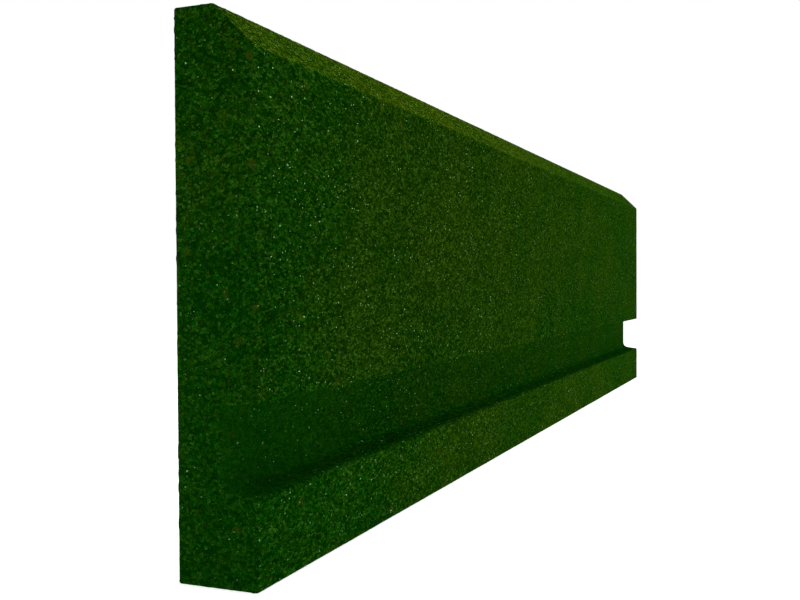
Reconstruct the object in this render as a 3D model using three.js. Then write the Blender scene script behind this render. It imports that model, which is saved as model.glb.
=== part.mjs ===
// Rubber-granulate edging board: a straight board pressed from bonded rubber granules, with a bevel
// along its top front edge and one open-ended mounting groove along the foot of its front face.
//
// Frame: millimetres, +Z up, origin at the middle of the underside.
// +X runs along the board, -Y is the grooved front, +Y is the plain back.
//
// The board is pressed in two charges that cure into one block: a thin layer of fine granules that
// follows the whole moulded front, and a core of coarser granules behind it.

import * as THREE from 'three';

// ---- driving dimensions, mm ----
const LENGTH = 1000;
const HEIGHT = 250;
const THICKNESS = 40;

const BEVEL = 20;                 // 45 degree bevel: this much off the front and off the top

const GROOVE_LOW = 40;            // height of the groove's lower lip
const GROOVE_HIGH = 80;           // height of the groove's upper lip
const GROOVE_DEPTH = 18;          // from the front face to the groove's floor
const LOWER_FLANK_RISE = 2.5;     // the lower flank climbs this much on its way in
const UPPER_FLANK_DROP = 1.5;     // the upper flank falls this much on its way in
const FLOOR_FILLET = 6;           // round between the lower flank and the floor
const FILLET_STEPS = 6;           // flats in that round

const LAYER = 8;                  // thickness of the fine-granule face layer
const BOND_GAP = 0.3;             // clearance kept between the two charges' solids

// ---- materials ----
const FINE_GRANULES = new THREE.MeshStandardMaterial({ color: 0x143606, roughness: 0.85, metalness: 0 });
const COARSE_GRANULES = new THREE.MeshStandardMaterial({ color: 0x0f3105, roughness: 0.9, metalness: 0 });

// Distance to the far side of a layer where a line turns: two lines with unit normals a and b, both
// moved inward by d, meet at the corner plus this vector.
function mitre(a, b, d) {
  const scale = d / (1 + a.dot(b));
  return a.clone().add(b).multiplyScalar(scale);
}

// The inward normal of the line from p to q, for an outline walked up the front face from the foot.
function inwardNormal(p, q) {
  const run = q.clone().sub(p).normalize();
  return new THREE.Vector2(run.y, -run.x);
}

// The round in the groove's inner lower corner, from the flank to the floor, as a few flats.
function floorFillet() {
  const flank = new THREE.Vector2(GROOVE_DEPTH, LOWER_FLANK_RISE).normalize();
  const corner = new THREE.Vector2(GROOVE_DEPTH, GROOVE_LOW + LOWER_FLANK_RISE);
  const turn = Math.PI / 2 - Math.atan2(LOWER_FLANK_RISE, GROOVE_DEPTH);
  const tangent = FLOOR_FILLET * Math.tan(turn / 2);
  const start = corner.clone().addScaledVector(flank, -tangent);
  const centre = start.clone().add(new THREE.Vector2(-flank.y, flank.x).multiplyScalar(FLOOR_FILLET));
  const points = [];
  for (let step = 0; step <= FILLET_STEPS; step += 1) {
    const angle = (turn * step) / FILLET_STEPS;
    const arm = start.clone().sub(centre).rotateAround(new THREE.Vector2(), angle);
    points.push(centre.clone().add(arm));
  }
  return points;
}

// The moulded front, as (depth from the front face, height), from the foot up to the top face.
function frontLine() {
  return [
    new THREE.Vector2(0, 0),
    new THREE.Vector2(0, GROOVE_LOW),
    ...floorFillet(),
    new THREE.Vector2(GROOVE_DEPTH, GROOVE_HIGH - UPPER_FLANK_DROP),
    new THREE.Vector2(0, GROOVE_HIGH),
    new THREE.Vector2(0, HEIGHT - BEVEL),
    new THREE.Vector2(BEVEL, HEIGHT),
  ];
}

// The same line moved a distance into the board, with its ends kept on the foot and the top face.
function lineBehind(line, distance) {
  const normals = line.slice(1).map((point, index) => inwardNormal(line[index], point));
  const moved = line.map((point, index) => {
    if (index === 0) {
      return new THREE.Vector2(point.x + distance, point.y);
    }
    if (index === line.length - 1) {
      return new THREE.Vector2(point.x + distance / normals[index - 1].x, point.y);
    }
    return point.clone().add(mitre(normals[index - 1], normals[index], distance));
  });
  return moved;
}

// A closed section in (depth, height) becomes a solid as long as the board, front towards -Y.
function boardPiece(name, section, material) {
  const shape = new THREE.Shape(section);
  const geometry = new THREE.ExtrudeGeometry(shape, { depth: LENGTH, bevelEnabled: false });
  // Depth goes to +Y, height to +Z and the extrusion to +X.
  const lay = new THREE.Matrix4().makeBasis(
    new THREE.Vector3(0, 1, 0),
    new THREE.Vector3(0, 0, 1),
    new THREE.Vector3(1, 0, 0),
  );
  geometry.applyMatrix4(lay);
  geometry.translate(-LENGTH / 2, -THICKNESS / 2, 0);
  const mesh = new THREE.Mesh(geometry, material);
  mesh.name = name;
  return mesh;
}

// Fine granules over the whole moulded front: lower lip, groove, face and bevel.
function faceLayer() {
  const front = frontLine();
  const back = lineBehind(front, LAYER);
  return boardPiece('face_layer', [...front, ...back.reverse()], FINE_GRANULES);
}

// Coarse granules from the face layer to the plain back.
function coreBoard() {
  const front = lineBehind(frontLine(), LAYER + BOND_GAP);
  const section = [
    ...front,
    new THREE.Vector2(THICKNESS, HEIGHT),
    new THREE.Vector2(THICKNESS, 0),
  ];
  return boardPiece('core_board', section, COARSE_GRANULES);
}

const board = new THREE.Group();
board.name = 'edging_board';
board.add(faceLayer(), coreBoard());

export default board;
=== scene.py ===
"""The looks of a pressed rubber-granulate edging board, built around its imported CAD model.

Metres, +Z up. +X runs along the board, -Y is the grooved front, +Y the plain back.
Each charge of granules becomes one closed mesh: its section is swept along the board and closed
with two end faces, and every visible point is sunk by the relief of the granules.
"""
import math

import bmesh
import bpy
import numpy as np
from mathutils import Matrix, Vector, geometry


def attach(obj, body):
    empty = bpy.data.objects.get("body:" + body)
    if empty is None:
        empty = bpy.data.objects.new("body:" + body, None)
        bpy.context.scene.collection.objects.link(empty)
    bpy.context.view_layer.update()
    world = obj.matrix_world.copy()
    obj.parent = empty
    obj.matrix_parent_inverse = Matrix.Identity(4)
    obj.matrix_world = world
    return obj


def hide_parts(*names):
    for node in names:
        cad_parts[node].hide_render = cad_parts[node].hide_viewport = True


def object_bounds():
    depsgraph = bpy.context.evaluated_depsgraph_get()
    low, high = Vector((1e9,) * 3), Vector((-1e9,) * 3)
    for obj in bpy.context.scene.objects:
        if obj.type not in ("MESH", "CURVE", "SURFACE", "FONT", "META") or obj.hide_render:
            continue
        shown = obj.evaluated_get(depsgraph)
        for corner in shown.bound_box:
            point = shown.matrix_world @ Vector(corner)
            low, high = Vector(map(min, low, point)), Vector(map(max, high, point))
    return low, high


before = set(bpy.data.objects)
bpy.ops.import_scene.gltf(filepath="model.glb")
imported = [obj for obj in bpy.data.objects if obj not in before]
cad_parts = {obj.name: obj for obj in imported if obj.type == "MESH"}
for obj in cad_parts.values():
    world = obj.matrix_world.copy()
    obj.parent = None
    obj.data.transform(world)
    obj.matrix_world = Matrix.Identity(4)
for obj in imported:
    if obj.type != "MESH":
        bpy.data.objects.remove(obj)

CAD_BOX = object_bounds()
MM = 0.001

# ---- section ----
BEVEL = 20 * MM
GROOVE_TOP = 82 * MM          # just above the groove's upper lip
GROOVE_FOOT = 39.5 * MM       # just below its lower lip
FRONT_REACH = 20 * MM         # the lip and the groove lie within this distance of the front face
HOLLOW_FROM = 0.3 * MM        # the groove's own look starts this far behind the front face
HOLLOW_FADE = 0.9 * MM        # and is complete this much farther in

# ---- mesh ----
COLUMN_STEP = 1.8 * MM        # spacing of the swept sections along the board
OUTLINE_STEP = 1.8 * MM       # mean spacing of points round a section
CORNER_CROWD = 1.1            # how much closer together the points are where the outline turns
END_STEP = 1.3 * MM           # spacing of points on the two end faces
RIM_CLEAR = 0.6               # they keep this share of their spacing away from the rim
BOND_STEP = 2.5 * MM          # spacing of points along the bond line on the end faces
BOND_REACH = 1 * MM           # outline points this near to the other charge's lie on the bond line
RUN_STEP = 0.1 * MM           # spacing at which an outline is tabulated
BOND_RUN_STEP = 0.05 * MM     # and the bond line
WELD = 0.001 * MM             # CAD points nearer than this are one
CDT_INSIDE = 1                # asks the triangulation for the triangles inside the ring
CDT_EPSILON = 1e-9
CORNER_ROUND = 1.0 * MM       # worn radius on the long moulded edges
EDGE_ROUND = 0.7 * MM         # worn radius round the two end faces
ARC_STEPS = 8                 # flats in a rounded corner of the outline
ROUND_COLUMNS = 3             # extra sections that turn each end's edge
SHARP_TURN = math.radians(20)  # a corner that turns more than this is rounded
JITTER = 0.33                 # how far a point wanders, as a share of its spacing
SEED = 7

# ---- relief of the granules ----
FINE_GRAIN = 2.4 * MM
COARSE_GRAIN = 3.2 * MM
FINE_DEPTH = 0.34 * MM        # scale of the relief of the fine granules
COARSE_DEPTH = 0.42 * MM
FLAKE_STRETCH = (1.6, 1.25, 0.96)  # granules are longest along the board and shortest up it
CREVICE_WIDTH = 0.45          # of the crevices between granules, as a share of a granule
CREVICE_SINK = 0.75           # how far a crevice is sunk, as a share of the depth
LOW_SINK = 0.45               # and the lowest granules
PIT_SINK = 0.5                # and the pits, in addition
PIT_SHARE = 0.01              # the share of granules that are pits
FULL_SINK = 1.3               # the material takes this sink, in depths, as the deepest
SWELL_SIZE = 45 * MM          # slow unevenness of the pressed faces
SWELL_DEPTH = 0.12 * MM
GROOVE_CALM = 0.6             # how much shallower the relief is in the groove, pressed by the rib
EDGE_CALM = 0.9               # and along the board's outer edges
EDGE_REACH = 4 * MM

# ---- crumbs of the material ----
FINE_CRUMB = 1.2 * MM         # crumbs that make up the granules
COARSE_CRUMB = 1.4 * MM
CLUMP = 2.2                   # a granule's size, in crumbs
FINE_CONTRAST = 0.85          # spread of tone from crumb to crumb
COARSE_CONTRAST = 0.70
PATCH_SCALE = 14.0            # slow patches, per metre
NOISE_SPAN = (0.3, 0.7)       # a noise texture rarely leaves this range
TONE_MIDDLE = 0.425           # the crumbs' own middle tone
CLUMP_TONE = 0.16             # a granule can be this much lighter than the next
FINE_TONE = (-0.18, 0.24)     # mottling within a crumb
PATCH_TONE = 0.03             # and from patch to patch
SUNK_SHADE = 0.12              # painted shade: how much darker the deepest points of the relief are
EVEN_TONE = 0.51              # the tone that even places are drawn to
CREVICE_SHADE_REACH = 0.22          # of the painted shade line round a crumb, in its crevice, as a share of the crumb
CREVICE_SHADE_DARK = 0.6
DOME_REACH = 0.5              # a crumb's bump rises over this share of it
DOME_FINE = 0.8               # the mottling's share of the bump
DOME_OWN = 0.6                # and that of each crumb's own height
BUMP_STRENGTH = 0.5
BUMP_DEPTH = 0.3 * MM
ROUGH_SPAN = (0.5, 0.9)       # roughness from crumb to crumb

# ---- brown granules and painted glints ----
BROWN_SPACING = 6.0 * MM      # between the places where a brown granule can be
FINE_BROWNING = 0.025         # the share of those places that have one
COARSE_BROWNING = 0.06
BROWN_RIM = (0.20, 0.30)      # where its colour starts to fade and where it is gone, in spacings
BROWN_RAGGED = 0.16           # how far that rim wanders
BROWN_STRENGTH = 0.62
PAINTED_GLINT_SPACING = 1.5 * MM      # between the places where a painted glint can be: a small bright spot that paints a facet's highlight
FINE_PAINTED_GLINTING = 0.15          # the share of those places that have one
COARSE_PAINTED_GLINTING = 0.34
PAINTED_GLINT_RIM = (0.06, 0.22)      # where its colour starts to fade and where it is gone, in spacings
PAINTED_GLINT_CALM = (0.3, 0.65)      # painted glints are dimmed between these values of evenness
PAINTED_GLINT_DIMMED = 0.55           # to this share of their brightness

# ---- colours, linear ----
GREEN = (                     # tone, and a fresh granule's colour there
    (0.0, (0.0002, 0.0125, 0.0002, 1)),
    (0.4, (0.0009, 0.0285, 0.0004, 1)),
    (0.75, (0.0046, 0.0510, 0.0014, 1)),
    (1.0, (0.0139, 0.0860, 0.0060, 1)),
)
YELLOW = (                    # and a yellowed one's: sun-bleached in part, and in part painted warm light
    (0.0, (0.0040, 0.0130, 0.0002, 1)),
    (0.4, (0.0158, 0.0315, 0.0004, 1)),
    (0.75, (0.0330, 0.0555, 0.0016, 1)),
    (1.0, (0.0600, 0.0940, 0.0070, 1)),
)
# colour of the painted shade in the crevices between crumbs
CREVICE_SHADE_COLOUR = (0.0002, 0.0108, 0.0002, 1)
BROWN_COLOUR = (0.029, 0.0385, 0.0023, 1)
# the colour of the painted glints: a painted highlight, not the rubber's own colour
PAINTED_GLINT_COLOUR = (0.31, 0.57, 0.23, 1)

# ---- how the colour changes over the board ----
SKY_AT_ENDS = 0.7             # the bevel and the top are changed less where they meet the next board
SKY_ENDS_REACH = 20 * MM
SKY_PAINTED_LIGHT = 1.06               # painted highlight: how much paler a face that looks up is, at the near end
SKY_PAINTED_LIGHT_FADE = 0.70          # the share of that which is lost by the far end
LIP_PAINTED_LIGHT = 0.18               # painted light: how much paler the lip below the groove is
FLANK_PAINTED_LIGHT = 0.26             # and the groove's flanks, from this far in, also painted light
FLANK_REACH = 10 * MM
STRAY_PATCH = 0.10            # how far the hue strays from patch to patch
STRAY_CRUMB = 0.16            # and from crumb to crumb
# Yellowing: partly real sun-bleaching, partly painted light; faces that the warm overhead light reaches are
# yellower, the groove and the underside stay green as painted shade.
YELLOWING_FRONT = 0.46           # how far the green has gone yellow, on the front face
YELLOWING_LIP = 0.38             # on the lip below the groove
YELLOWING_GROOVE = 0.21          # at the groove's floor
YELLOWING_FLANK = 0.0            # on the groove's flanks
YELLOWING_FOOT = 0.10            # underneath
YELLOWING_END_FOOT = 0.0         # on the end faces, which butt against the next boards, at their foot
YELLOWING_END_TOP = 0.20         # and at their top
YELLOWING_SKY = 0.70             # and how much more where a face looks straight up, at the near end: painted warm top light
YELLOWING_SKY_FADE = 0.90        # the share of that which is lost by the far end
YELLOWING_UP = (                 # metres above the foot, and the share of the yellowing on the face
    (0.080, 0.72),
    (0.100, 0.88),
    (0.135, 1.0),
    (0.180, 1.0),
    (0.230, 0.93),
)
YELLOWING_ALONG = (              # metres from the near end, the share on the face, the share below it
    (0.0, 0.42, 0.18),
    (0.06, 0.52, 0.22),
    (0.11, 0.78, 0.38),
    (0.19, 1.08, 0.92),
    (0.32, 1.03, 1.03),
    (0.60, 0.88, 1.03),
    (1.0, 0.76, 0.92),
)
END_EVEN = 0.22               # the end faces' granules are this much nearer to one tone, at their foot
GROOVE_EVEN = (               # metres from the near end, and how much nearer the groove's are there
    (0.0, 0.64),
    (0.07, 0.56),
    (0.16, 0.24),
    (0.50, 0.20),
    (1.0, 0.36),
)

# ---- studio ----
FLOOR_SIZE = 12.0             # metres from the middle to each side
FLOOR_GREY = (0.88, 0.88, 0.88, 1)
FLOOR_ROUGH = 0.9
FLOOR_GLOW = 0.62             # the floor is a lit white table
HORIZON_GLOW = 1.0            # and its glow rises with distance, so that it stays white to the horizon
GLOW_FROM = 0.8               # metres from the board's middle
GLOW_TO = 2.2
WHITE = (1, 1, 1, 1)
WORLD_LIGHT = 0.02
LIGHTS = (                    # name, place, aim, size, watts
    ("overhead", (0.0, 0.0, 1.4), (0.0, 0.0, 0.1), (1.8, 0.4), 17),
    ("front_high", (0.0, -0.9, 1.3), (0.0, 0.0, 0.1), (1.8, 0.5), 10),
    ("front_low", (1.4, -1.6, 0.3), (0.3, 0.0, 0.1), (1.5, 0.5), 22.5),
    ("near_end", (-2.2, 0.6, 0.6), (-0.5, 0.0, 0.1), (1.0, 0.8), 13.5),
    ("back_fill", (0.0, 1.9, 0.5), (0.0, 0.0, 0.1), (2.0, 0.8), 5),
)

# ---- camera ----
CAMERA_PLACE = (-0.85473, -0.23219, 0.13045)
CAMERA_YAW = 22.511           # degrees from +X towards +Y
CAMERA_PITCH = -0.984
CAMERA_ROLL = -0.337
CAMERA_LENS = 44.027          # millimetres, as is the sensor's width
CAMERA_SENSOR = 36.0
CAMERA_CLIP = 0.01


# ---------------------------------------------------------------- outlines from the CAD nodes

def end_outline(node):
    """A node's outline at its near end: (y, z) points, anticlockwise with y to the right."""
    bm = bmesh.new()
    bm.from_mesh(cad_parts[node].data)
    bmesh.ops.remove_doubles(bm, verts=bm.verts, dist=WELD)
    bm.normal_update()
    cap = {f for f in bm.faces if f.normal.x < -0.9}
    rim = [e for e in bm.edges if sum(f in cap for f in e.link_faces) == 1]
    after = {}
    for edge in rim:
        a, b = edge.verts
        after.setdefault(a, []).append(b)
        after.setdefault(b, []).append(a)
    here = rim[0].verts[0]
    loop = [here]
    last = None
    while True:
        step = [v for v in after[here] if v is not last]
        last, here = here, step[0]
        if here is loop[0]:
            break
        loop.append(here)
    points = np.array([(v.co.y, v.co.z) for v in loop])
    bm.free()
    y, z = points.T
    area = np.sum(y * np.roll(z, -1) - z * np.roll(y, -1))
    return points if area > 0 else points[::-1]


def split_at_bond(outline, other):
    """(outer run, bond run) of an outline. The bond run is the part that lies along the other outline.

    The outer run starts and ends on the bond line's two ends. Both are moved to the middle of the gap.
    """
    apart = np.linalg.norm(outline[:, None] - other[None], axis=2)
    nearest = apart.argmin(axis=1)
    bonded = apart.min(axis=1) < BOND_REACH
    start = next(i for i in range(len(outline)) if bonded[i - 1] and not bonded[i])
    outline, nearest, bonded = (np.roll(a, -start, axis=0) for a in (outline, nearest, bonded))
    outline = np.where(bonded[:, None], (outline + other[nearest]) / 2, outline)
    outer = [outline[-1], *outline[~bonded], outline[len(outline) - bonded.sum()]]
    return np.array(outer), outline[bonded]


def rounded(points, radius):
    """The same run of points with an arc in place of each sharp corner."""
    out = [points[0]]
    for before, corner, behind in zip(points, points[1:], points[2:]):
        into = (corner - before) / np.linalg.norm(corner - before)
        away = (behind - corner) / np.linalg.norm(behind - corner)
        turn = math.atan2(into[0] * away[1] - into[1] * away[0], into @ away)
        if abs(turn) < SHARP_TURN:
            out.append(corner)
            continue
        start = corner - into * radius * math.tan(abs(turn) / 2)
        inward = np.array([-into[1], into[0]]) * math.copysign(radius, turn)
        for angle in np.linspace(0, abs(turn), ARC_STEPS + 1):
            out.append(start + into * radius * math.sin(angle) + inward * (1 - math.cos(angle)))
    out.append(points[-1])
    return np.array(out)


class Run:
    """A run of outline points that can be read at any length along it, with its outward normal."""

    def __init__(self, points, spacing):
        length = np.concatenate([[0], np.cumsum(np.linalg.norm(np.diff(points, axis=0), axis=1))])
        self.total = length[-1]
        self.at = np.linspace(0, self.total, int(self.total / spacing) + 1)
        self.place = np.stack([np.interp(self.at, length, points[:, k]) for k in (0, 1)], axis=1)
        along = np.gradient(self.place, self.at, axis=0)
        normal = np.stack([along[:, 1], -along[:, 0]], axis=1)
        self.normal = normal / np.linalg.norm(normal, axis=1)[:, None]
        ahead, behind = self.read(self.at + CORNER_ROUND), self.read(self.at - CORNER_ROUND)
        self.turned = np.linalg.norm(ahead[1] - behind[1], axis=1)

    def read(self, u):
        place = np.stack([np.interp(u, self.at, self.place[:, k]) for k in (0, 1)], axis=-1)
        normal = np.stack([np.interp(u, self.at, self.normal[:, k]) for k in (0, 1)], axis=-1)
        return place, normal / np.linalg.norm(normal, axis=-1)[..., None]

    def steps(self, spacing, crowd=0.0):
        """Lengths along the run, that far apart on average, and closer together where it turns."""
        density = 1 + crowd * self.turned
        count = np.concatenate([[0], np.cumsum((density[1:] + density[:-1]) / 2)])
        number = max(2, round(self.total / spacing) + 1)
        return np.interp(np.linspace(0, count[-1], number), count, self.at)


# ---------------------------------------------------------------- places on the board

def from_near_end(points):
    return points[:, 0] - CAD_BOX[0][0]


def behind_front(points):
    return points[:, 1] - CAD_BOX[0][1]


def front_below(points, height):
    """Which points are at the front of the board and lower than that."""
    return (points[:, 2] < height) & (behind_front(points) < FRONT_REACH)


def hollow(points):
    """1 inside the groove, 0 outside it, with a short change between them at its lips."""
    level = front_below(points, GROOVE_TOP) & ~front_below(points, GROOVE_FOOT)
    return np.clip((behind_front(points) - HOLLOW_FROM) / HOLLOW_FADE, 0, 1) * level


def near_edge(points):
    """1 on the board's outer edges, 0 from a few millimetres away."""
    low, high = np.array(CAD_BOX)
    x, y, z = points.T
    bevel = (y - low[1] + high[2] - z - BEVEL) / math.sqrt(2)
    planes = np.stack([x - low[0], high[0] - x, y - low[1], high[1] - y, z - low[2], high[2] - z, bevel])
    second = np.sort(planes, axis=0)[1]
    return np.clip(1 - second / EDGE_REACH, 0, 1)


def skyward(points, out, fade):
    """1 where a face above the groove looks straight up, less towards both ends and the far one."""
    far = from_near_end(points)
    to_end = np.minimum(far, CAD_BOX[1][0] - points[:, 0])
    ends = np.interp(to_end, (0, SKY_ENDS_REACH), (SKY_AT_ENDS, 1))
    return np.clip(out[:, 2], 0, 1) * (points[:, 2] > GROOVE_TOP) * (1 - fade * far) * ends


# ---------------------------------------------------------------- relief

def cell_random(cell, channel):
    """A repeatable random number from 0 to 1 for each whole-number cell."""
    mix = cell.astype(np.int64) @ np.array([73856093, 19349663, 83492791]) + channel * 2654435761
    mix = (mix ^ (mix >> 13)) * 1274126177 & 0xFFFFFFFF
    return ((mix ^ (mix >> 16)) & 0xFFFFFF) / 0x1000000


def granules(points, size):
    """(distance to the nearest granule's middle, to the second nearest, the nearest one's own number)."""
    spot = points / (size * np.array(FLAKE_STRETCH))
    base = np.floor(spot)
    first = np.full(len(points), np.inf)
    second = first.copy()
    own = np.zeros(len(points))
    for offset in np.ndindex(3, 3, 3):
        cell = base + np.array(offset) - 1
        middle = cell + np.stack([cell_random(cell, k) for k in range(3)], axis=1)
        away = np.linalg.norm(middle - spot, axis=1)
        closer = away < first
        second = np.where(closer, first, np.minimum(second, away))
        own = np.where(closer, cell_random(cell, 3), own)
        first = np.where(closer, away, first)
    return first, second, own


def slow_noise(points, size):
    """Smooth noise from 0 to 1 with features of that size."""
    spot = points / size
    base = np.floor(spot)
    part = spot - base
    part = part * part * (3 - 2 * part)
    total = np.zeros(len(points))
    for offset in np.ndindex(2, 2, 2):
        corner = np.array(offset)
        weight = np.prod(np.where(corner, part, 1 - part), axis=1)
        total += weight * cell_random(base + corner, 5)
    return total


def sink(points, size, depth):
    """How far each point lies under the pressed face: crevices, low granules, pits and slow swells."""
    first, second, own = granules(points, size)
    crevice = np.clip(1 - (second - first) / CREVICE_WIDTH, 0, 1)
    low = own ** 3
    pit = own > 1 - PIT_SHARE
    depth = depth * (1 - GROOVE_CALM * hollow(points)) * (1 - EDGE_CALM * near_edge(points))
    grain = depth * (CREVICE_SINK * crevice + LOW_SINK * low + PIT_SINK * pit)
    return grain + SWELL_DEPTH * slow_noise(points, SWELL_SIZE)


def relief(points, grain, depth, seam):
    """The sink of a piece's points. On the seam, it is the mean of the two charges', so they meet."""
    own = sink(points, grain, depth)
    shared = (sink(points, FINE_GRAIN, FINE_DEPTH) + sink(points, COARSE_GRAIN, COARSE_DEPTH)) / 2
    return np.where(seam, shared, own)


# ---------------------------------------------------------------- what the material is told

def bleaching_and_warm_light(points, out):
    """How yellow each point is painted, from 0 to 1: partly sun-bleaching, partly painted warm light, with
    painted shade keeping it little in the groove and below.
    """
    up = out[:, 2]
    far = from_near_end(points)
    face = np.where(front_below(points, GROOVE_FOOT), YELLOWING_LIP, YELLOWING_FRONT)
    groove = YELLOWING_GROOVE + (YELLOWING_FLANK - YELLOWING_GROOVE) * np.abs(up)
    level = face + (groove - face) * hollow(points)
    places, on_face, below_face = np.transpose(YELLOWING_ALONG)
    face_share = np.interp(far, places, on_face) * np.interp(points[:, 2], *np.transpose(YELLOWING_UP))
    low_share = np.interp(far, places, below_face)
    level = level * np.where(front_below(points, GROOVE_TOP), low_share, face_share)
    level = level + YELLOWING_SKY * skyward(points, out, YELLOWING_SKY_FADE)
    end = YELLOWING_END_FOOT + (YELLOWING_END_TOP - YELLOWING_END_FOOT) * points[:, 2] / CAD_BOX[1][2]
    level = level + (end - level) * np.abs(out[:, 0])
    below = np.clip(-up, 0, 1) * (1 - hollow(points))
    return np.clip(level + (YELLOWING_FOOT - level) * below, 0, 1)


def painted_paleness(points, out):
    """How many times paler each point is painted than the front face: painted light on the lip and the
    groove's flanks, a painted highlight on the bevel and the top.
    """
    sky = SKY_PAINTED_LIGHT * skyward(points, out, SKY_PAINTED_LIGHT_FADE)
    lip = LIP_PAINTED_LIGHT * front_below(points, GROOVE_FOOT)
    far_in = np.clip(behind_front(points) / FLANK_REACH, 0, 1)
    flank = FLANK_PAINTED_LIGHT * np.abs(out[:, 2]) * hollow(points) * far_in
    return 1 + (sky + lip + flank) * (1 - np.abs(out[:, 0]))


def evenness(points, out):
    """How much nearer to one tone the granules are: in the groove, and low on the end faces."""
    end = np.abs(out[:, 0])
    groove = np.interp(from_near_end(points), *np.transpose(GROOVE_EVEN)) * hollow(points)
    return groove * (1 - end) + END_EVEN * (1 - points[:, 2] / CAD_BOX[1][2]) * end


def give(mesh, name, values):
    """Stores a number for each point of a mesh, for its material to read."""
    mesh.attributes.new(name, "FLOAT", "POINT").data.foreach_set("value", values.astype(np.float32))


# ---------------------------------------------------------------- one closed piece

def column_places(low, high):
    """(x, turn onto the end face) of each swept section, from the near end to the far."""
    inner = np.linspace(low + EDGE_ROUND, high - EDGE_ROUND, round((high - low) / COLUMN_STEP))
    turns = np.linspace(0, math.pi / 2, ROUND_COLUMNS + 1)[1:]
    x = np.concatenate([
        (low + EDGE_ROUND - EDGE_ROUND * np.sin(turns))[::-1],
        inner,
        high - EDGE_ROUND + EDGE_ROUND * np.sin(turns),
    ])
    turn = np.concatenate([-turns[::-1], np.zeros(len(inner)), turns])
    return x, turn


def swept_sheet(run, random):
    """Points and normals of a run swept along the board, as arrays of columns by steps."""
    x, turn = column_places(CAD_BOX[0][0], CAD_BOX[1][0])
    u = run.steps(OUTLINE_STEP, CORNER_CROWD)
    columns, steps = np.meshgrid(x, u, indexing="ij")
    wander = random.uniform(-JITTER, JITTER, (2, *columns.shape))
    wander[:, :, [0, -1]] = 0
    wander[0][turn != 0] = 0
    columns = columns + wander[0] * COLUMN_STEP
    steps = np.clip(steps + wander[1] * np.gradient(u), 0, run.total)
    place, normal = run.read(steps)
    place = place - normal * (EDGE_ROUND * (1 - np.cos(turn)))[:, None, None]
    points = np.concatenate([columns[..., None], place], axis=2)
    out = np.concatenate([
        np.broadcast_to(np.sin(turn)[:, None, None], columns[..., None].shape),
        normal * np.cos(turn)[:, None, None],
    ], axis=2)
    return points, out


def inside(points, ring):
    """Which points lie inside a closed ring."""
    y, z = points.T
    found = np.zeros(len(points), bool)
    for (y0, z0), (y1, z1) in zip(ring, np.roll(ring, -1, axis=0)):
        if z0 == z1:
            continue
        crosses = (z0 > z) != (z1 > z)
        found ^= crosses & (y < (y1 - y0) * (z - z0) / (z1 - z0) + y0)
    return found


def end_face(ring, random):
    """(points to add inside a ring, triangles) of an end face. Triangles count the ring's points first."""
    low, high = ring.min(axis=0), ring.max(axis=0)
    rows = np.arange(low[1], high[1], END_STEP * math.sqrt(3) / 2)
    loose = []
    for index, z in enumerate(rows):
        y = np.arange(low[0] + (index % 2) * END_STEP / 2, high[0], END_STEP)
        loose.append(np.stack([y, np.full(len(y), z)], axis=1))
    loose = np.concatenate(loose)
    loose = loose + random.uniform(-JITTER, JITTER, loose.shape) * END_STEP
    loose = loose[inside(loose, ring)]
    to_rim = np.linalg.norm(loose[:, None] - ring[None], axis=2).min(axis=1)
    loose = loose[to_rim > RIM_CLEAR * END_STEP]
    flat = [Vector(p) for p in np.concatenate([ring, loose])]
    result = geometry.delaunay_2d_cdt(flat, [], [list(range(len(ring)))], CDT_INSIDE, CDT_EPSILON)
    origin = [ids[0] for ids in result[3]]
    triangles = [[origin[v] for v in face] for face in result[2]]
    return loose, triangles


def sheet_faces(number):
    """The quads between a sheet's neighbouring columns and steps."""
    a, b = number[:-1, :-1], number[1:, :-1]
    c, d = number[1:, 1:], number[:-1, 1:]
    return np.stack([a, d, c, b], axis=-1).reshape(-1, 4).tolist()


def bond_faces(number, near, far):
    """The hidden faces along the bond line, from end to end, with the two that meet the sheet's seams."""
    faces = [[n0, f0, f1, n1] for n0, n1, f0, f1 in zip(near, near[1:], far, far[1:])]
    faces.append([*number[:, -1].tolist(), far[0], near[0]])
    faces.append([*number[::-1, 0].tolist(), near[-1], far[-1]])
    return faces


def closed_piece(node, other, random):
    """(points, outward directions, which points are on the seam, faces) of a charge, before its relief."""
    outer, bond = split_at_bond(end_outline(node), end_outline(other))
    sheet, sheet_out = swept_sheet(Run(rounded(outer, CORNER_ROUND), RUN_STEP), random)
    columns, steps = sheet.shape[:2]
    number = np.arange(columns * steps).reshape(columns, steps)
    seam_row = np.zeros((columns, steps), bool)
    seam_row[:, [0, -1]] = True
    points, out, seam = [sheet.reshape(-1, 3)], [sheet_out.reshape(-1, 3)], [seam_row.ravel()]
    faces = sheet_faces(number)

    bond_run = Run(bond, BOND_RUN_STEP)
    bond_inner = bond_run.read(bond_run.steps(BOND_STEP)[1:-1])[0]
    count = columns * steps
    bond_ends = []
    for column, side in ((0, -1), (columns - 1, 1)):
        x = sheet[column, 0, 0]
        ring = np.concatenate([sheet[column, :, 1:], bond_inner])
        loose, triangles = end_face(ring, random)
        added = np.concatenate([bond_inner, loose])
        points.append(np.column_stack([np.full(len(added), x), added]))
        out.append(np.tile([side, 0.0, 0.0], (len(added), 1)))
        seam.append(np.arange(len(added)) < len(bond_inner))
        label = np.concatenate([number[column], np.arange(count, count + len(added))])
        bond_ends.append(label[steps:steps + len(bond_inner)].tolist())
        faces += [[int(label[v]) for v in t[::side]] for t in triangles]
        count += len(added)
    faces += bond_faces(number, *bond_ends)
    return np.concatenate(points), np.concatenate(out), np.concatenate(seam), faces


def face_outwards(mesh):
    bm = bmesh.new()
    bm.from_mesh(mesh)
    bmesh.ops.recalc_face_normals(bm, faces=bm.faces)
    if bm.calc_volume(signed=True) < 0:
        bmesh.ops.reverse_faces(bm, faces=bm.faces)
    bm.to_mesh(mesh)
    bm.free()


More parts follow.
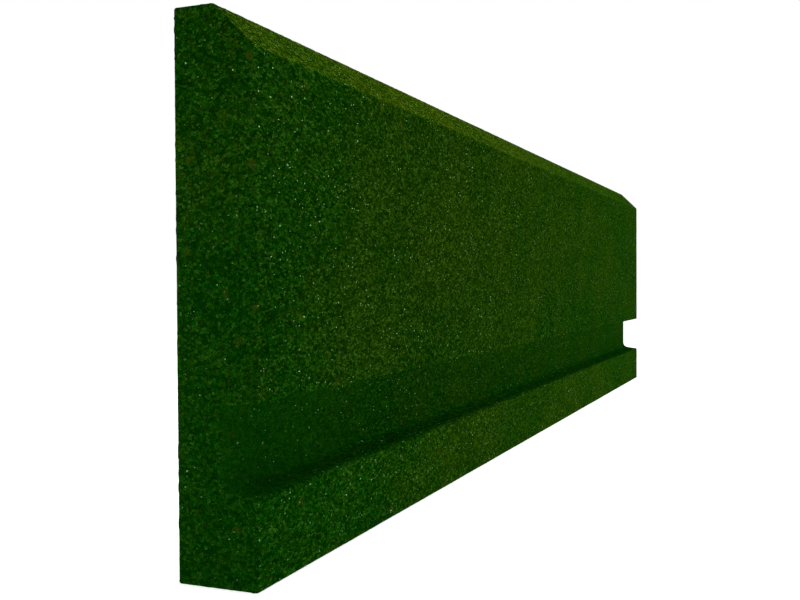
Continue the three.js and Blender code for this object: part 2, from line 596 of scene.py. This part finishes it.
def granulate_piece(name, node, other, grain, depth, seed):
    """One charge of granules as a closed mesh in place of its CAD node."""
    pressed, out, seam, faces = closed_piece(node, other, np.random.default_rng(seed))
    sunk = relief(pressed, grain, depth, seam)
    points = pressed - out * sunk[:, None]
    mesh = bpy.data.meshes.new(name)
    mesh.from_pydata(points.tolist(), [], faces)
    mesh.validate()
    give(mesh, "sunk", np.clip(sunk / (FULL_SINK * depth), 0, 1))
    give(mesh, "bleach_and_warm_light", bleaching_and_warm_light(pressed, out))
    give(mesh, "painted_light", painted_paleness(pressed, out))
    give(mesh, "even", evenness(pressed, out))
    face_outwards(mesh)
    mesh.polygons.foreach_set("use_smooth", [True] * len(mesh.polygons))
    piece = bpy.data.objects.new(name, mesh)
    bpy.context.scene.collection.objects.link(piece)
    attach(piece, "root")
    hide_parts(node)
    return piece


# ---------------------------------------------------------------- materials

class Nodes:
    """Short calls that add nodes to a material and link them."""

    def __init__(self, material):
        material.use_nodes = True
        self.tree = material.node_tree
        self.shader = self.tree.nodes["Principled BSDF"]

    def put(self, socket, value):
        if isinstance(value, bpy.types.NodeSocket):
            self.tree.links.new(value, socket)
        else:
            socket.default_value = value

    def add(self, kind, sockets=(), **settings):
        node = self.tree.nodes.new(kind)
        for key, value in settings.items():
            setattr(node, key, value)
        for key, value in dict(sockets).items():
            self.put(node.inputs[key], value)
        return node

    def maths(self, operation, a, b=0.0, clamp=False):
        node = self.add("ShaderNodeMath", operation=operation, use_clamp=clamp)
        self.put(node.inputs[0], a)
        self.put(node.inputs[1], b)
        return node.outputs[0]

    def between(self, value, low, high, to_low=0.0, to_high=1.0):
        sockets = {"Value": value, "From Min": low, "From Max": high, "To Min": to_low, "To Max": to_high}
        return self.add("ShaderNodeMapRange", sockets, interpolation_type="SMOOTHSTEP").outputs[0]

    def blend(self, factor, a, b, how="MIX"):
        node = self.add("ShaderNodeMix", data_type="RGBA", blend_type=how)
        self.put(node.inputs[0], factor)
        self.put(node.inputs[6], a)
        self.put(node.inputs[7], b)
        return node.outputs[2]

    def ramp(self, value, stops):
        node = self.add("ShaderNodeValToRGB", {"Fac": value})
        points = node.color_ramp.elements
        while len(points) < len(stops):
            points.new(0.5)
        for point, (place, tint) in zip(points, stops):
            point.position = place
            point.color = tint
        return node.outputs[0]

    def noise(self, spot, scale, detail):
        return self.add("ShaderNodeTexNoise", {"Vector": spot, "Scale": scale, "Detail": detail})

    def cells(self, spot, size, **settings):
        return self.add("ShaderNodeTexVoronoi", {"Vector": spot, "Scale": 1 / size}, **settings)

    def numbers(self, cells):
        """The three random numbers of the cell that a point is in."""
        return self.add("ShaderNodeSeparateColor", {"Color": cells.outputs["Color"]}).outputs

    def stored(self, name):
        """A number that the mesh carries for each of its points."""
        return self.add("ShaderNodeAttribute", attribute_name=name).outputs["Fac"]


def flake_space(n, crumb):
    """(place on the piece, the same place squeezed and bent so that cells in it are ragged flakes)."""
    place = n.add("ShaderNodeTexCoord").outputs["Object"]
    shrink = tuple(1 / stretch for stretch in FLAKE_STRETCH)
    flakes = n.add("ShaderNodeMapping", {"Vector": place, "Scale": shrink}).outputs[0]
    wobble = n.noise(flakes, 0.8 / crumb, 2.0)
    shift = n.add("ShaderNodeVectorMath", operation="MULTIPLY_ADD")
    n.put(shift.inputs[0], wobble.outputs["Color"])
    n.put(shift.inputs[1], (crumb * 1.5,) * 3)
    n.put(shift.inputs[2], flakes)
    return place, shift.outputs[0]


def crumb_tone(n, contrast, own, clump, fine, patch, calm):
    """How light each crumb is, from 0 to 1."""
    tone = n.maths("MULTIPLY", own, contrast)
    tone = n.maths("ADD", tone, TONE_MIDDLE - contrast / 2)
    tone = n.maths("ADD", tone, n.maths("MULTIPLY", clump, CLUMP_TONE))
    tone = n.maths("ADD", tone, n.between(fine, *NOISE_SPAN, *FINE_TONE))
    tone = n.maths("ADD", tone, n.between(patch, *NOISE_SPAN, -PATCH_TONE, PATCH_TONE))
    # painted shade in the relief's hollows
    tone = n.maths("SUBTRACT", tone, n.maths("MULTIPLY", n.stored("sunk"), SUNK_SHADE))
    evened = n.maths("MULTIPLY", calm, n.maths("SUBTRACT", EVEN_TONE, tone))
    return n.maths("ADD", tone, evened, clamp=True)


def crumb_hue(n, own, patch, lively):
    """How yellow each crumb is, from 0 to 1."""
    slow = n.between(patch, *NOISE_SPAN, -STRAY_PATCH, STRAY_PATCH)
    quick = n.between(own, 0.0, 1.0, -STRAY_CRUMB, STRAY_CRUMB)
    stray = n.maths("ADD", slow, quick)
    return n.maths("ADD", n.stored("bleach_and_warm_light"), n.maths("MULTIPLY", stray, lively), clamp=True)


def painted_paler(n, tint):
    painted_light = n.stored("painted_light")
    grey = n.add("ShaderNodeCombineColor", {0: painted_light, 1: painted_light, 2: painted_light}).outputs[0]
    return n.blend(1.0, tint, grey, "MULTIPLY")


def brown_share(n, spot, fine, lively, browning):
    """How brown each point is: a few ragged granules."""
    browns = n.cells(spot, BROWN_SPACING)
    chosen = n.maths("GREATER_THAN", n.numbers(browns)[0], 1 - browning)
    wander = n.between(fine, *NOISE_SPAN, -BROWN_RAGGED, BROWN_RAGGED)
    ragged = n.maths("ADD", browns.outputs["Distance"], wander)
    brown = n.maths("MULTIPLY", n.between(ragged, *BROWN_RIM, 1.0, 0.0), chosen)
    return n.maths("MULTIPLY", n.maths("MULTIPLY", brown, BROWN_STRENGTH), lively)


def painted_glint_share(n, spot, calm, painted_glinting):
    """How much painted glint each point has, a facet's highlight painted into the colour: most points have
    none.
    """
    painted_glints = n.cells(spot, PAINTED_GLINT_SPACING, distance="CHEBYCHEV")
    small = n.between(painted_glints.outputs["Distance"], *PAINTED_GLINT_RIM, 1.0, 0.0)
    some = n.between(n.numbers(painted_glints)[0], 1 - painted_glinting, 1.0)
    spark = n.maths("MULTIPLY", small, some)
    return n.maths("MULTIPLY", spark, n.between(calm, *PAINTED_GLINT_CALM, 1.0, PAINTED_GLINT_DIMMED))


def crumb_bump(n, gap, fine, own):
    """Domed and mottled crumbs, each at its own height."""
    height = n.maths("ADD", n.between(gap, 0.0, DOME_REACH), n.maths("MULTIPLY", fine, DOME_FINE))
    height = n.maths("ADD", height, n.maths("MULTIPLY", own, DOME_OWN))
    sockets = {"Height": height, "Strength": BUMP_STRENGTH, "Distance": BUMP_DEPTH}
    return n.add("ShaderNodeBump", sockets).outputs[0]


def granulate(name, crumb, contrast, painted_glinting, browning):
    """Bonded green rubber granules: crumbs in larger granules, each with its own tone, and painted shade in
    the crevices.
    """
    material = bpy.data.materials.new(name)
    n = Nodes(material)
    place, spot = flake_space(n, crumb)
    crumbs = n.cells(spot, crumb, distance="CHEBYCHEV")
    nexts = n.cells(spot, crumb, distance="CHEBYCHEV", feature="F2")
    gap = n.maths("SUBTRACT", nexts.outputs["Distance"], crumbs.outputs["Distance"])
    own = n.numbers(crumbs)
    clump = n.numbers(n.cells(spot, crumb * CLUMP))
    fine = n.noise(place, 1.6 / crumb, 3.0).outputs[0]
    patch = n.noise(place, PATCH_SCALE, 2.0).outputs[0]
    calm = n.stored("even")
    lively = n.maths("SUBTRACT", 1.0, calm)

    tone = crumb_tone(n, contrast, own[0], clump[0], fine, patch, calm)
    # green to yellow by the share of bleaching and painted warm light
    tint = n.blend(crumb_hue(n, own[1], patch, lively), n.ramp(tone, GREEN), n.ramp(tone, YELLOW))
    # painted light: the lip, the groove's flanks and the upward faces made paler
    tint = painted_paler(n, tint)
    # painted shade along the crevices between crumbs
    crevice = n.maths("MULTIPLY", n.between(gap, 0.0, CREVICE_SHADE_REACH, CREVICE_SHADE_DARK, 0.0), lively)
    tint = n.blend(crevice, tint, CREVICE_SHADE_COLOUR)
    tint = n.blend(brown_share(n, spot, fine, lively, browning), tint, BROWN_COLOUR)
    # painted highlights: small bright spots where a facet would glint
    tint = n.blend(painted_glint_share(n, spot, calm, painted_glinting), tint, PAINTED_GLINT_COLOUR)

    n.put(n.shader.inputs["Base Color"], tint)
    n.put(n.shader.inputs["Roughness"], n.between(own[1], 0.0, 1.0, *ROUGH_SPAN))
    n.put(n.shader.inputs["Normal"], crumb_bump(n, gap, fine, own[2]))
    n.put(n.shader.inputs["Specular IOR Level"], 0.0)
    return material


# ---------------------------------------------------------------- the board

def dress(piece, material):
    piece.data.materials.append(material)


def make_board():
    face = granulate_piece("fine_face", "face_layer", "core_board", FINE_GRAIN, FINE_DEPTH, SEED)
    core = granulate_piece("coarse_core", "core_board", "face_layer", COARSE_GRAIN, COARSE_DEPTH, SEED + 1)
    fine = granulate("fine_granulate", FINE_CRUMB, FINE_CONTRAST, FINE_PAINTED_GLINTING, FINE_BROWNING)
    coarse = granulate("coarse_granulate", COARSE_CRUMB, COARSE_CONTRAST, COARSE_PAINTED_GLINTING, COARSE_BROWNING)
    dress(face, fine)
    dress(core, coarse)


# ---------------------------------------------------------------- studio

def floor():
    mesh = bpy.data.meshes.new("floor")
    size = FLOOR_SIZE
    foot = CAD_BOX[0][2]
    corners = [(-size, -size, foot), (size, -size, foot), (size, size, foot), (-size, size, foot)]
    mesh.from_pydata(corners, [], [(0, 1, 2, 3)])
    plane = bpy.data.objects.new("floor", mesh)
    bpy.context.scene.collection.objects.link(plane)
    surface = bpy.data.materials.new("pale_floor")
    n = Nodes(surface)
    place = n.add("ShaderNodeTexCoord").outputs["Object"]
    away = n.add("ShaderNodeVectorMath", operation="LENGTH")
    n.put(away.inputs[0], place)
    glow = n.between(away.outputs["Value"], GLOW_FROM, GLOW_TO, FLOOR_GLOW, HORIZON_GLOW)
    n.put(n.shader.inputs["Base Color"], FLOOR_GREY)
    n.put(n.shader.inputs["Roughness"], FLOOR_ROUGH)
    n.put(n.shader.inputs["Emission Color"], WHITE)
    n.put(n.shader.inputs["Emission Strength"], glow)
    mesh.materials.append(surface)


def soft_light(name, place, aim, size, power):
    light = bpy.data.lights.new(name, "AREA")
    light.shape = "RECTANGLE"
    light.size, light.size_y = size
    light.energy = power
    lamp = bpy.data.objects.new(name, light)
    lamp.location = place
    lamp.rotation_euler = (Vector(aim) - Vector(place)).to_track_quat("-Z", "Y").to_euler()
    bpy.context.scene.collection.objects.link(lamp)


def world_light(strength):
    """A world that the camera sees as white, and that lights the board with that strength."""
    world = bpy.data.worlds.new("studio")
    world.use_nodes = True
    tree = world.node_tree
    back = tree.nodes["Background"]
    back.inputs["Color"].default_value = WHITE
    path = tree.nodes.new("ShaderNodeLightPath")
    level = tree.nodes.new("ShaderNodeMapRange")
    tree.links.new(path.outputs["Is Camera Ray"], level.inputs["Value"])
    level.inputs["To Min"].default_value = strength
    level.inputs["To Max"].default_value = 1.0
    tree.links.new(level.outputs[0], back.inputs["Strength"])
    bpy.context.scene.world = world


def studio():
    floor()
    world_light(WORLD_LIGHT)
    for light in LIGHTS:
        soft_light(*light)
    bpy.context.scene.view_settings.view_transform = "Standard"


def camera():
    yaw, pitch, roll = (math.radians(a) for a in (CAMERA_YAW, CAMERA_PITCH, CAMERA_ROLL))
    ahead = Vector((math.cos(yaw) * math.cos(pitch), math.sin(yaw) * math.cos(pitch), math.sin(pitch)))
    level = Vector((math.sin(yaw), -math.cos(yaw), 0))
    up = level.cross(ahead)
    right = level * math.cos(roll) + up * math.sin(roll)
    top = up * math.cos(roll) - level * math.sin(roll)
    data = bpy.data.cameras.new("camera")
    data.lens = CAMERA_LENS
    data.sensor_width = CAMERA_SENSOR
    data.clip_start = CAMERA_CLIP
    eye = bpy.data.objects.new("camera", data)
    turned = Matrix((right, top, -ahead)).transposed().to_4x4()
    eye.matrix_world = Matrix.Translation(CAMERA_PLACE) @ turned
    bpy.context.scene.collection.objects.link(eye)
    bpy.context.scene.camera = eye


camera()
make_board()
studio()
